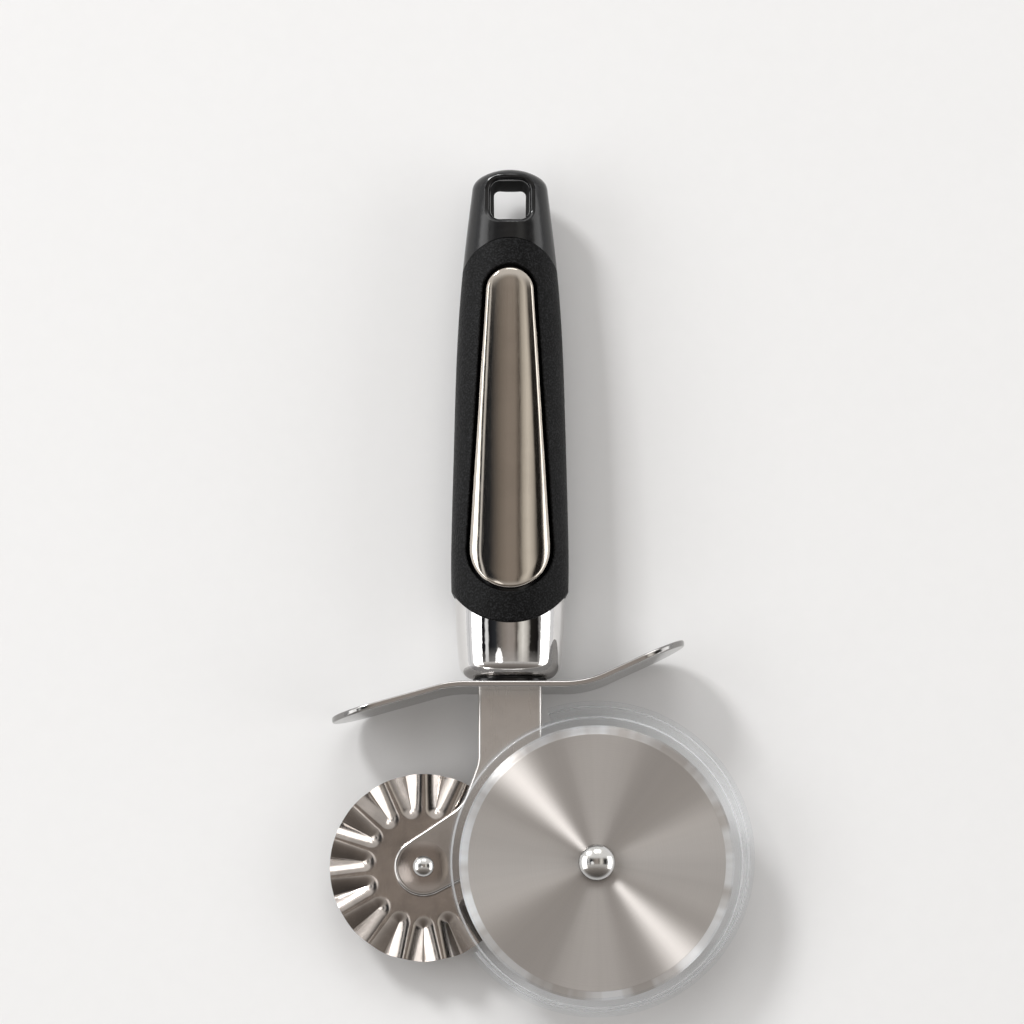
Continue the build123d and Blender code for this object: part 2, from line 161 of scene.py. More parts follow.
class RivetSettings(PropertyGroup):
    """Sizes of the two rivets that the wheels turn on."""

    pizza_shank: length_property("Pizza shank", "Radius of the pizza wheel's axle", 0.0020)
    pizza_tail: length_property("Pizza tail", "Radius of that rivet's tail", 0.0033)
    pizza_head: length_property("Pizza head", "Height of that rivet's head", 0.0029)
    pastry_shank: length_property("Pastry shank", "Radius of the pastry wheel's axle", 0.0015)
    pastry_tail: length_property("Pastry tail", "Radius of that rivet's tail", 0.0025)
    pastry_head: length_property("Pastry head", "Height of that rivet's head", 0.0018)
    tail_height: length_property("Tail height", "Height of a rivet's tail", 0.0010)
    crown: FloatProperty(name="Crown", description="Share of a head's height that is domed",
                         subtype="FACTOR", min=0.1, max=1.0, default=0.66)
    bend: length_property("Bend", "Rounding between a head's foot and its dome", 0.00015)


class WasherSettings(PropertyGroup):
    """Sizes of the domed washer under the pastry wheel's rivet."""

    bore: length_property("Bore", "Radius of the washer's hole", 0.00156)
    seat: length_property("Seat", "Radius of the flat seat under the rivet's head", 0.0018)
    dome: length_property("Dome", "How far the face falls to its edge", 0.00034)


class PastryWheelSettings(PropertyGroup):
    """Sizes of the pressed pastry wheel."""

    flute_count: IntProperty(name="Flutes", description="Flutes round the wheel", min=6, default=15)
    flute_turn: angle_property("Flute turn", "Where the first flute lies", 6.0)
    flute_start: length_property("Flute start", "Radius where the flutes begin", 0.0114)
    inner_width: length_property("Inner width", "Flute's width at its inner end", 0.0056)
    outer_width: length_property("Outer width", "Flute's width at the rim", 0.0092)
    inner_floor: length_property("Inner floor", "Width of a flute's flat floor at its inner end", 0.0004)
    outer_floor: length_property("Outer floor", "Width of a flute's flat floor at the rim", 0.0010)
    end_run: length_property("End run", "Length of the slope at a flute's inner end", 0.0030)
    inner_depth: length_property("Inner depth", "Flute's depth at its inner end", 0.0010)
    outer_depth: length_property("Outer depth", "Flute's depth at the rim", 0.00205)
    shoulder_power: FloatProperty(name="Shoulder", description="How softly the walls meet the shoulders",
                                  min=1.0, max=3.0, default=1.5)
    sheet: length_property("Sheet", "Thickness of the sheet", 0.0006)
    bore: length_property("Bore", "Radius of the hole for the rivet", 0.00156)


class BladeGuardSettings(PropertyGroup):
    """Sizes and colours of the clear ring over the pizza wheel's edge."""

    film_colour: colour_property("Film colour", "Clear film", (0.82, 0.85, 0.87))
    bend_colour: colour_property("Bend colour", "Film at its bends", (0.84, 0.87, 0.90))
    film: length_property("Film", "Thickness of the clear film", 0.0006)
    lip_overlap: length_property("Lip overlap", "How far the lip covers the blade's edge", 0.0005)
    front_margin: length_property("Front margin", "From the blade's edge to the wall in front", 0.0020)
    wall_lean: length_property("Wall lean", "How much wider the wall is behind", 0.0015)
    flange_run: length_property("Flange", "Width of the flange behind the wall", 0.00148)
    back_shift: length_property("Back shift", "How far the back lies towards the handle", 0.0015)
    bend: length_property("Bend", "Rounding of the film's bends", 0.0006)
    notch_level: length_property("Notch level", "Height below which the wall is cut for the arm", 0.0018)
    notch_start: angle_property("Notch start", "Where the cut-out begins", 108.1)
    notch_stop: angle_property("Notch stop", "Where the cut-out ends", 217.6)


class StageSettings(PropertyGroup):
    """Floor, lights and camera."""

    floor_colour: colour_property("Floor colour", "Pale floor", (0.88, 0.88, 0.88))
    key_power: power_property("Key power", "Key softbox, upper left", 78.0)
    left_power: power_property("Left power", "Softbox on the left", 12.0)
    right_power: power_property("Right power", "Softbox on the right", 8.4)
    top_power: power_property("Top power", "Softbox beyond the handle", 6.0)
    card_power: power_property("Card power", "Small card over the pastry wheel", 0.016)
    elevation: angle_property("Camera elevation", "Camera's height over the horizon", 83.0)
    view_width: length_property("View width", "Width of the picture on the object", 0.2433)


def new_material(name):
    """Material with its node tree and its principled shader."""
    material = bpy.data.materials.new(name)
    material.use_nodes = True
    tree = material.node_tree
    shader = next(node for node in tree.nodes if node.type == "BSDF_PRINCIPLED")
    return material, tree, shader


def pattern_place(tree, centre=(0, 0, 0), stretch=(1, 1, 1)):
    """Object coordinates about a centre, stretched."""
    source = tree.nodes.new("ShaderNodeTexCoord")
    move = tree.nodes.new("ShaderNodeMapping")
    move.vector_type = "TEXTURE"
    move.inputs["Location"].default_value = centre
    move.inputs["Scale"].default_value = stretch
    tree.links.new(source.outputs["Object"], move.inputs["Vector"])
    return move.outputs["Vector"]


def noise(tree, place, size, detail=3.0, roughness=0.55):
    """Noise whose blobs are about one size across."""
    node = tree.nodes.new("ShaderNodeTexNoise")
    node.inputs["Scale"].default_value = 1.0 / size
    node.inputs["Detail"].default_value = detail
    node.inputs["Roughness"].default_value = roughness
    tree.links.new(place, node.inputs["Vector"])
    return node.outputs["Fac"]


def spread(tree, value, low, high, start=0.3, stop=0.7):
    """Map a pattern to a range."""
    node = tree.nodes.new("ShaderNodeMapRange")
    node.inputs["From Min"].default_value = start
    node.inputs["From Max"].default_value = stop
    node.inputs["To Min"].default_value = low
    node.inputs["To Max"].default_value = high
    tree.links.new(value, node.inputs["Value"])
    return node.outputs["Result"]


def tones(tree, value, dark, light, start=0.3, stop=0.7):
    """Colour that goes from dark to light with a pattern."""
    ramp = tree.nodes.new("ShaderNodeValToRGB")
    ramp.color_ramp.elements[0].position = start
    ramp.color_ramp.elements[1].position = stop
    ramp.color_ramp.elements[0].color = (*dark, 1)
    ramp.color_ramp.elements[1].color = (*light, 1)
    tree.links.new(value, ramp.inputs["Fac"])
    return ramp.outputs["Color"]


def relief(tree, shader, height, depth, strength=1.0):
    """Bump a shader by a pattern of a given depth."""
    bump = tree.nodes.new("ShaderNodeBump")
    bump.inputs["Distance"].default_value = depth
    bump.inputs["Strength"].default_value = strength
    tree.links.new(height, bump.inputs["Height"])
    tree.links.new(bump.outputs["Normal"], shader.inputs["Normal"])


def feed(tree, value, socket):
    """Link a socket to another one, or set it to a number or a colour."""
    if isinstance(value, bpy.types.NodeSocket):
        tree.links.new(value, socket)
    else:
        socket.default_value = value


def sums(tree, operation, *values):
    """Result of a calculation with sockets and numbers."""
    node = tree.nodes.new("ShaderNodeMath")
    node.operation = operation
    for socket, value in zip(node.inputs, values):
        feed(tree, value, socket)
    return node.outputs["Value"]


def blended(tree, factor, first, second, kind="RGBA"):
    """Mix of two sockets or colours by a factor."""
    node = tree.nodes.new("ShaderNodeMix")
    node.data_type = kind
    feed(tree, factor, node.inputs["Factor"])
    feed(tree, first, node.inputs["A"])
    feed(tree, second, node.inputs["B"])
    return node.outputs["Result"]


def place_parts(tree):
    """Object coordinates, one by one."""
    parts = tree.nodes.new("ShaderNodeSeparateXYZ")
    tree.links.new(pattern_place(tree), parts.inputs["Vector"])
    return parts.outputs


black = (0, 0, 0)


def shade(colour, factor):
    """Colour made lighter or darker."""
    return tuple(min(1.0, channel * factor) for channel in colour)


def shades(colour, factors):
    """Darker and lighter version of a colour."""
    return [shade(colour, factor) for factor in factors]


rubber_tones = (0.3, 5.0)
rubber_tone_span = (0.46, 0.70)
rubber_gloss = (0.42, 0.52)
rubber_specular = 0.14
rubber_grain_depth = 0.0002
grains_per_cloud = 30


def soft_rubber(name, colour, grain):
    """Fine-grained soft rubber with a cloudy gloss."""
    material, tree, shader = new_material(name)
    place = pattern_place(tree)
    grains = noise(tree, place, grain, detail=2.0)
    clouds = noise(tree, place, grains_per_cloud * grain, detail=4.0)
    speckled = tones(tree, grains, *shades(colour, rubber_tones), *rubber_tone_span)
    tree.links.new(speckled, shader.inputs["Base Color"])
    tree.links.new(spread(tree, clouds, *rubber_gloss), shader.inputs["Roughness"])
    relief(tree, shader, grains, rubber_grain_depth)
    shader.inputs["Specular IOR Level"].default_value = rubber_specular
    return material


plastic_tones = (0.8, 1.3)
plastic_gloss = (0.17, 0.23)
plastic_cloud = 0.0012
plastic_ripple = 0.0035
plastic_ripple_depth = 0.00002
plastic_ripple_strength = 0.3
well_roughness = 0.9
well_fade = 0.0006


def hard_plastic(name, colour, well=None):
    """Satin moulded plastic with a faint ripple and a cloudy gloss, which is dull down in a well."""
    material, tree, shader = new_material(name)
    place = pattern_place(tree)
    ripple = noise(tree, place, plastic_ripple, detail=1.0)
    clouds = noise(tree, place, plastic_cloud, detail=5.0)
    tree.links.new(tones(tree, clouds, *shades(colour, plastic_tones)), shader.inputs["Base Color"])
    gloss = spread(tree, clouds, *plastic_gloss)
    if well:
        half_width, half_height, level = well
        parts = place_parts(tree)
        across = sums(tree, "LESS_THAN", sums(tree, "ABSOLUTE", parts["X"]), half_width)
        along = sums(tree, "LESS_THAN", sums(tree, "ABSOLUTE", parts["Y"]), half_height)
        inside = sums(tree, "MULTIPLY", across, along)
        low = spread(tree, parts["Z"], well_roughness, 0.0, level - well_fade, level)
        gloss = sums(tree, "MAXIMUM", gloss, sums(tree, "MULTIPLY", inside, low))
    tree.links.new(gloss, shader.inputs["Roughness"])
    relief(tree, shader, ripple, plastic_ripple_depth, plastic_ripple_strength)
    return material


polish_lightest = 1.05
polish_haze = 0.008
polish_gloss = (0.6, 1.4)
streak_stretch = (0.05, 1.0, 0.05)
streak_depth = 0.000004
streak_strength = 0.3
painted_shade_fade = 0.0006
no_level = -1.0


def polished_steel(name, colour, roughness, streak, painted_shade_from=no_level, painted_shade_below=no_level, painted_shade_tone=0.45,
                   dullest=0.94):
    """Polished metal with faint streaks along the handle and dull clouds, with painted shade between two
    levels.
    """
    material, tree, shader = new_material(name)
    shader.inputs["Metallic"].default_value = 1.0
    streaks = noise(tree, pattern_place(tree, stretch=streak_stretch), streak, detail=4.0)
    haze = noise(tree, pattern_place(tree), polish_haze, detail=3.0)
    # Painted shade: between two heights the colour is darkened to stand in for shade
    height = place_parts(tree)["Z"]
    above = spread(tree, height, painted_shade_tone, 1.0, painted_shade_below - painted_shade_fade, painted_shade_below)
    outside = sums(tree, "MAXIMUM", above, sums(tree, "LESS_THAN", height, painted_shade_from))
    tone = sums(tree, "MULTIPLY", spread(tree, haze, dullest, polish_lightest), outside)
    light = shade(colour, polish_lightest)
    tree.links.new(tones(tree, tone, black, light, 0.0, 1.0), shader.inputs["Base Color"])
    bright, dull = (factor * roughness for factor in polish_gloss)
    tree.links.new(spread(tree, streaks, bright, dull), shader.inputs["Roughness"])
    relief(tree, shader, streaks, streak_depth, streak_strength)
    return material


satin_tones = (0.92, 1.06)
satin_haze = 0.006
satin_gloss = (0.97, 1.03)
brush_stretch = (1.0, 60.0, 1.0)
brush_depth = 0.000004
brush_strength = 0.02
# Painted shade: how dark the colour grows at the polished end
end_shade_tone = 0.66
polished_gloss = 0.45


def satin_steel(name, colour, roughness, spacing, polished_from=-1.0, brushed_from=-0.9):
    """Satin metal with straight brush lines, which fade out along the handle into a polished end whose colour
    is darkened as painted shade.
    """
    material, tree, shader = new_material(name)
    shader.inputs["Metallic"].default_value = 1.0
    lines = noise(tree, pattern_place(tree, stretch=brush_stretch), spacing, detail=3.0)
    haze = noise(tree, pattern_place(tree), satin_haze, detail=3.0)
    height = place_parts(tree)["Y"]
    satin = spread(tree, height, polished_gloss, 1.0, polished_from, brushed_from)
    # Painted shade: the colour darkens towards the polished end
    end_shade = spread(tree, height, end_shade_tone, 1.0, polished_from, brushed_from)
    tone = sums(tree, "MULTIPLY", spread(tree, haze, *satin_tones), end_shade)
    light = shade(colour, satin_tones[1])
    tree.links.new(tones(tree, tone, black, light, 0.0, 1.0), shader.inputs["Base Color"])
    fine, coarse = (factor * roughness for factor in satin_gloss)
    gloss = sums(tree, "MULTIPLY", spread(tree, lines, fine, coarse), satin)
    tree.links.new(gloss, shader.inputs["Roughness"])
    relief(tree, shader, sums(tree, "MULTIPLY", lines, satin), brush_depth, brush_strength)
    return material


groove_tones = (0.94, 1.06)
groove_gloss = (0.36, 0.40)
groove_depth = 0.000002
groove_strength = 0.2
fan_share = 0.45
fan_size = 0.16
patch_size = 0.5
# Painted highlight: near-white colour of the bevel's glint patches
bevel_glint_colour = (0.97, 0.985, 1.0)
bevel_tone_span = (0.40, 0.54)
bevel_gloss = (0.30, 0.40)
bevel_blend = 0.0001
quarter_turn = 0.25


def vector_sum(tree, operation, vector, by=(0, 0, 0)):
    """Vector node that works on one socket."""
    node = tree.nodes.new("ShaderNodeVectorMath")
    node.operation = operation
    node.inputs[1].default_value = by
    tree.links.new(vector, node.inputs[0])
    return node.outputs


def turned_steel(name, colour, centre, spacing, flat_radius):
    """Metal with fine rings about an axle, which draw highlights out into cones, and a ground bevel with
    painted glints in lighter patches.
    """
    material, tree, shader = new_material(name)
    shader.inputs["Metallic"].default_value = 1.0
    flat = vector_sum(tree, "MULTIPLY", pattern_place(tree, centre=centre), (1, 1, 0))["Vector"]
    reach = vector_sum(tree, "LENGTH", flat)["Value"]
    around = vector_sum(tree, "NORMALIZE", flat)["Vector"]
    rings = tree.nodes.new("ShaderNodeTexNoise")
    rings.noise_dimensions = "1D"
    rings.inputs["Scale"].default_value = 1.0 / spacing
    rings.inputs["Detail"].default_value = 6.0
    rings.inputs["Roughness"].default_value = 0.75
    tree.links.new(reach, rings.inputs["W"])
    bevel = spread(tree, reach, 0.0, 1.0, flat_radius - bevel_blend, flat_radius + bevel_blend)
    glint_patches = noise(tree, around, patch_size, detail=3.0, roughness=0.6)
    fans = sums(tree, "MULTIPLY", noise(tree, around, fan_size, detail=3.0, roughness=0.6), fan_share)
    grooves = sums(tree, "ADD", fans, sums(tree, "MULTIPLY", rings.outputs["Fac"], 1 - fan_share))
    face = tones(tree, grooves, *shades(colour, groove_tones))
    # Painted highlight: the bevel's colour lightens in patches, standing in for glints
    edge = tones(tree, glint_patches, colour, bevel_glint_colour, *bevel_tone_span)
    tree.links.new(blended(tree, bevel, face, edge), shader.inputs["Base Color"])
    face_gloss = spread(tree, rings.outputs["Fac"], *groove_gloss)
    edge_gloss = spread(tree, glint_patches, *bevel_gloss)
    tree.links.new(blended(tree, bevel, face_gloss, edge_gloss, "FLOAT"), shader.inputs["Roughness"])
    shader.inputs["Anisotropic"].default_value = 1.0
    shader.inputs["Anisotropic Rotation"].default_value = quarter_turn
    tangent = tree.nodes.new("ShaderNodeTangent")
    tangent.direction_type = "RADIAL"
    tangent.axis = "Z"
    tree.links.new(tangent.outputs["Tangent"], shader.inputs["Tangent"])
    relief(tree, shader, rings.outputs["Fac"], groove_depth, groove_strength)
    return material


film_ior = 1.49
film_gloss = (0.03, 0.09)
film_haze = 0.004
film_tint = (0.985, 0.99, 0.995, 1)
graze_power = 4.0


def clear_plastic(name, colour, faced, grazed):
    """Clear film that hides little where it is faced and more where it is grazed."""
    material, tree, shader = new_material(name)
    haze = noise(tree, pattern_place(tree), film_haze, detail=2.0)
    shader.inputs["Base Color"].default_value = (*colour, 1)
    shader.inputs["IOR"].default_value = film_ior
    tree.links.new(spread(tree, haze, *film_gloss), shader.inputs["Roughness"])
    clear = tree.nodes.new("ShaderNodeBsdfTransparent")
    clear.inputs["Color"].default_value = film_tint
    facing = tree.nodes.new("ShaderNodeLayerWeight").outputs["Facing"]
    cover = spread(tree, sums(tree, "POWER", facing, graze_power), faced, grazed, 0.0, 1.0)
    film = tree.nodes.new("ShaderNodeMixShader")
    output = next(node for node in tree.nodes if node.type == "OUTPUT_MATERIAL")
    tree.links.new(cover, film.inputs["Fac"])
    tree.links.new(clear.outputs["BSDF"], film.inputs[1])
    tree.links.new(shader.outputs["BSDF"], film.inputs[2])
    tree.links.new(film.outputs["Shader"], output.inputs["Surface"])
    return material


def dress(material, *names):
    """Give CAD nodes a material."""
    for name in names:
        slots = nodes_by_name[name].data.materials
        slots.clear()
        slots.append(material)


sharp_angle = math.radians(50.0)


def finished_piece(name, bm, material, body, node):
    """Turn a bmesh into a piece that stands for a CAD node and rides on its body."""
    mesh = bpy.data.meshes.new(name)
    bm.to_mesh(mesh)
    bm.free()
    for face in mesh.polygons:
        face.use_smooth = True
    mesh.set_sharp_from_angle(angle=sharp_angle)
    mesh.materials.append(material)
    piece = bpy.data.objects.new(name, mesh)
    bpy.context.scene.collection.objects.link(piece)
    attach(piece, body)
    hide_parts(node)
    return piece


class PIZZAWHEEL_OT_handle(Operator):
    """Dress the handle end, the grip and the base"""

    bl_idname = "pizzawheel.handle"
    bl_label = "Handle"

    # Half width, half height and rim level of the hang hole
    hang_hole = (0.0050, 0.0051, 0.0046)

    def execute(self, context):
        looks = context.scene.pizzawheel_handle
        dress(hard_plastic("handle_end_plastic", looks.end_colour, self.hang_hole), "handle_core")
        dress(soft_rubber("grip_rubber", looks.grip_colour, looks.grip_grain), "grip_sleeve", "inlay_pad")
        dress(hard_plastic("base_plastic", looks.base_colour), "collar_base")
        return {"FINISHED"}


def outline_depth(x, y, foot, foot_radius, head, head_radius):
    """How far a point lies inside the hull of the inlay's two end circles."""
    span = head - foot
    tilt = (foot_radius - head_radius) / span
    side, along = abs(x), y - foot
    lean = math.sqrt(1 - tilt * tilt)
    level = along * lean - side * tilt
    if level < 0:
        return foot_radius - math.hypot(side, along)
    if level > lean * span:
        return head_radius - math.hypot(side, along - span)
    return foot_radius - side * lean - along * tilt


class PIZZAWHEEL_OT_inlay(Operator):
    """Press the mirror inlay with its pillowed border and rolled rim"""

    bl_idname = "pizzawheel.inlay"
    bl_label = "Inlay"

    columns = 80
    rows = 81
    side_cuts = 90
    probe_count = 11
    probe_margin = 0.0030
    probe_share = 0.55
    probe_level = 1.0
    crest_degree = 4
    bow_degree = 3
    sink = 0.00002
    roughness = 0.10
    streak = 0.004

    def execute(self, context):
        sizes = context.scene.pizzawheel_inlay
        steels = context.scene.pizzawheel_steels
        foot_radius = (inlay_high.x - inlay_low.x) / 2
        foot, head = inlay_low.y + foot_radius, inlay_high.y - sizes.head_radius
        crest, bow = self.face_curves(context, foot, foot_radius, head, sizes.head_radius)
        bm = bmesh.new()
        bmesh.ops.create_grid(bm, x_segments=self.columns, y_segments=self.rows, size=1.0)
        tangent = (foot_radius - sizes.head_radius) / (head - foot)
        # The square grid becomes a disc, whose two parts move to the end circles
        for vert in bm.verts:
            u, v = vert.co.x, vert.co.y
            x, y = u * math.sqrt(1 - v * v / 2), v * math.sqrt(1 - u * u / 2)
            centre, radius = (head, sizes.head_radius) if y > tangent else (foot, foot_radius)
            vert.co.x, vert.co.y = x * radius, centre + y * radius
        sides = [edge for edge in bm.edges if edge.calc_length() > (head - foot) / 2]
        bmesh.ops.subdivide_edges(bm, edges=sides, cuts=self.side_cuts, use_grid_fill=True)
        for vert in bm.verts:
            x, y = vert.co.x, vert.co.y
            inside = outline_depth(x, y, foot, foot_radius, head, sizes.head_radius)
            fall = sizes.border_fall * max(0.0, 1 - inside / sizes.border) ** 2
            roll = sizes.rim_fall * max(0.0, 1 - inside / sizes.rim) ** 2
            arch = math.sqrt(1 - numpy.polyval(bow, y) * x * x)
            vert.co.z = numpy.polyval(crest, y) * arch + sizes.ease * x * x - fall - roll - self.sink
        bmesh.ops.solidify(bm, geom=bm.faces[:], thickness=sizes.sheet)
        material = polished_steel("inlay_mirror", steels.mirror_colour, self.roughness, self.streak)
        finished_piece("inlay_pillowed", bm, material, "handle", "inlay_plate")
        return {"FINISHED"}

    def face_curves(self, context, foot, foot_radius, head, head_radius):
        """Smooth curves along the handle for the height of the inlay's face and for its bow across."""
        context.view_layer.update()
        plate = nodes_by_name["inlay_plate"]
        start, stop = inlay_low.y + self.probe_margin, inlay_high.y - self.probe_margin
        stations = numpy.linspace(start, stop, self.probe_count)
        heights, bows = [], []
        for y in stations:
            across = self.probe_share * outline_depth(0, y, foot, foot_radius, head, head_radius)
            middle, side = (plate.ray_cast((x, y, self.probe_level), (0, 0, -1))[1].z for x in (0.0, across))
            heights.append(middle)
            bows.append((1 - (side / middle) ** 2) / across ** 2)
        crest = numpy.polyfit(stations, heights, self.crest_degree)
        return crest, numpy.polyfit(stations, bows, self.bow_degree)


class PIZZAWHEEL_OT_bright_trim(Operator):
    """Dress the collar and the finger guard"""

    bl_idname = "pizzawheel.bright_trim"
    bl_label = "Bright trim"

    collar_roughness = 0.03
    collar_streak = 0.006
    guard_roughness = 0.13
    guard_streak = 0.003
    unshaded_front_edge = 0.0004

    def execute(self, context):
        steels = context.scene.pizzawheel_steels
        chrome = polished_steel("collar_chrome", steels.chrome_colour, self.collar_roughness,
                                self.collar_streak)
        dress(chrome, "collar")
        # Painted shade: below a thin band at the front edge, the strip's sides and underside are darkened
        strip = polished_steel("finger_guard_steel", steels.guard_colour, self.guard_roughness,
                               self.guard_streak, painted_shade_below=finger_high.z - self.unshaded_front_edge)
        dress(strip, "finger_guard")
        return {"FINISHED"}


class PIZZAWHEEL_OT_arm(Operator):
    """Dress the forked arm, its pins and its plain washers"""

    bl_idname = "pizzawheel.arm"
    bl_label = "Arm"

    arm_roughness = 0.28
    washer_roughness = 0.24

    def execute(self, context):
        steels = context.scene.pizzawheel_steels
        satin = satin_steel("arm_steel", steels.satin_colour, self.arm_roughness, steels.brush_spacing,
                            pastry_axle.y, pastry_high.y)
        dress(satin, "arm_plate")
        plain = satin_steel("washer_steel", steels.satin_colour, self.washer_roughness, steels.brush_spacing)
        dress(plain, "tang_pins", "pizza_spacer", "pizza_back_washer", "pastry_spacer", "pastry_back_washer")
        return {"FINISHED"}


bend_segments = 5
merge_distance = 0.000001


def spun_profile(bm, points, bends, bend, start, sweep, step):
    """Line through (radius, level) points, rounded at some of them and spun about Z from a start angle."""
    verts = [bm.verts.new((radius, 0, level)) for radius, level in points]
    for pair in zip(verts, verts[1:]):
        bm.edges.new(pair)
    corners = [verts[index] for index in bends]
    rounded = bmesh.ops.bevel(bm, geom=corners, offset=bend, segments=bend_segments, profile=0.5,
                              affect="VERTICES", material=-1)["verts"]
    kept = [vert for vert in (*rounded, *verts) if vert.is_valid]
    edges = list(dict.fromkeys(edge for vert in kept for edge in vert.link_edges))
    verts = list(dict.fromkeys(vert for edge in edges for vert in edge.verts))
    bmesh.ops.rotate(bm, cent=(0, 0, 0), matrix=Matrix.Rotation(start, 3, "Z"), verts=verts)
    bmesh.ops.spin(bm, geom=verts + edges, cent=(0, 0, 0), axis=(0, 0, 1), angle=sweep,
                   steps=round(sweep / step))


def dome_profile(radius, height, level, count):
    """Points of a dome's profile from its edge to its crown; a negative height hangs down."""
    ball = (radius ** 2 + height ** 2) / (2 * height)
    edge = math.asin(radius / ball)
    return [(ball * math.sin(lean), level + ball * (math.cos(lean) - math.cos(edge)))
            for lean in numpy.linspace(edge, 0.0, count)]


class PIZZAWHEEL_OT_rivets(Operator):
    """Turn the two rivets with their upright foot and low polished dome"""

    bl_idname = "pizzawheel.rivets"
    bl_label = "Rivets"

    step = math.radians(3.0)
    dome_points = 16
    roughness = 0.15
    streak = 0.002
    seat_shade_margin = 0.00040
    painted_shade_tone = 0.25

    def execute(self, context):
        sizes = context.scene.pizzawheel_rivets
        self.turn(context, "pizza_rivet", pizza_axle, sizes.pizza_shank, sizes.pizza_head, sizes.pizza_tail)
        self.turn(context, "pastry_rivet", pastry_axle, sizes.pastry_shank, sizes.pastry_head,
                  sizes.pastry_tail)
        return {"FINISHED"}

    def turn(self, context, node, axle, shank, head_height, tail):
        """Spin one rivet about its axle and put it in the place of its node."""
        sizes = context.scene.pizzawheel_rivets
        low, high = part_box(node)
        head = (high.x - low.x) / 2
        head_level, tail_level = high.z - head_height, low.z + sizes.tail_height
        foot_level = high.z - sizes.crown * head_height
        crown = dome_profile(head, high.z - foot_level, foot_level, self.dome_points)
        tail_dome = dome_profile(tail, -sizes.tail_height, tail_level, self.dome_points)
        neck = [(head, head_level), (shank, head_level), (shank, tail_level)]
        brow = len(crown) - 1
        bm = bmesh.new()
        spun_profile(bm, [*reversed(crown), *neck, *tail_dome], (brow,), sizes.bend, 0.0, math.tau, self.step)
        bmesh.ops.remove_doubles(bm, verts=bm.verts, dist=merge_distance)
        bmesh.ops.recalc_face_normals(bm, faces=bm.faces)
        bmesh.ops.translate(bm, vec=(axle.x, axle.y, 0), verts=bm.verts)
        colour = context.scene.pizzawheel_steels.rivet_colour
        # Painted shade: each head's upright foot is darkened, standing in for shade where the head meets the
        # part below
        material = polished_steel(node + "_polish", colour, self.roughness, self.streak,
                                  head_level - self.seat_shade_margin, foot_level + self.seat_shade_margin, self.painted_shade_tone)
        finished_piece(node + "_domed", bm, material, "handle", node)


class PIZZAWHEEL_OT_pastry_washer(Operator):
    """Turn the domed washer under the pastry wheel's rivet"""

    bl_idname = "pizzawheel.pastry_washer"
    bl_label = "Pastry washer"

    steps = 120
    dome_points = 8
    roughness = 0.16
    streak = 0.002

    def execute(self, context):
        sizes = context.scene.pizzawheel_washer
        steels = context.scene.pizzawheel_steels
        radius = (washer_high.x - washer_low.x) / 2
        run = radius - sizes.seat
        profile = [(sizes.bore, washer_low.z), (sizes.bore, washer_high.z)]
        for share in numpy.linspace(0.0, 1.0, self.dome_points):
            profile.append((sizes.seat + run * share, washer_high.z - sizes.dome * share ** 2))
        profile.append((radius, washer_low.z))
        bm = bmesh.new()
        verts = [bm.verts.new((reach, 0, level)) for reach, level in profile]
        edges = [bm.edges.new(pair) for pair in zip(verts, verts[1:] + verts[:1])]
        bmesh.ops.spin(bm, geom=verts + edges, cent=(0, 0, 0), axis=(0, 0, 1), angle=math.tau,
                       steps=self.steps, use_merge=True)
        bmesh.ops.recalc_face_normals(bm, faces=bm.faces)
        bmesh.ops.translate(bm, vec=(pastry_axle.x, pastry_axle.y, 0), verts=bm.verts)
        material = polished_steel("washer_polish", steels.washer_colour, self.roughness, self.streak)
        finished_piece("pastry_washer_domed", bm, material, "handle", "pastry_front_washer")
        return {"FINISHED"}


class PIZZAWHEEL_OT_pizza_wheel(Operator):
    """Dress the cutting wheel with turned steel"""

    bl_idname = "pizzawheel.pizza_wheel"
    bl_label = "Pizza wheel"

    bevel_width = 0.0021

    def execute(self, context):
        steels = context.scene.pizzawheel_steels
        turned = turned_steel("pizza_wheel_steel", steels.wheel_colour, pizza_axle, steels.brush_spacing,
                              pizza_radius - self.bevel_width)
        dress(turned, "pizza_wheel")
        return {"FINISHED"}


def flute_sink(x, y, sizes):
    """How deep the flutes are pressed in at a point of the pastry wheel: flat floor, soft shoulders."""
    pitch = math.tau / sizes.flute_count
    radius = math.hypot(x, y)
    offset = (math.atan2(y, x) - sizes.flute_turn + pitch / 2) % pitch - pitch / 2
    along, across = radius * math.cos(offset), radius * math.sin(offset)
    crease_start = sizes.flute_start + sizes.end_run
    share = min(1.0, max(0.0, (along - crease_start) / (pastry_radius - crease_start)))
    half_width = (sizes.inner_width + (sizes.outer_width - sizes.inner_width) * share) / 2
    half_floor = (sizes.inner_floor + (sizes.outer_floor - sizes.inner_floor) * share) / 2
    depth = sizes.inner_depth + (sizes.outer_depth - sizes.inner_depth) * share
    distance = math.hypot(min(0.0, along - crease_start) * half_width / sizes.end_run, across)
    climb = min(1.0, max(0.0, (distance - half_floor) / (half_width - half_floor)))
    return depth * (1.0 - climb) ** sizes.shoulder_power


def outer_edges(made, verts):
    """Edges of freshly extruded geometry that join only new vertices."""
    return [item for item in made if isinstance(item, bmesh.types.BMEdge)
            and item.verts[0] in verts and item.verts[1] in verts]


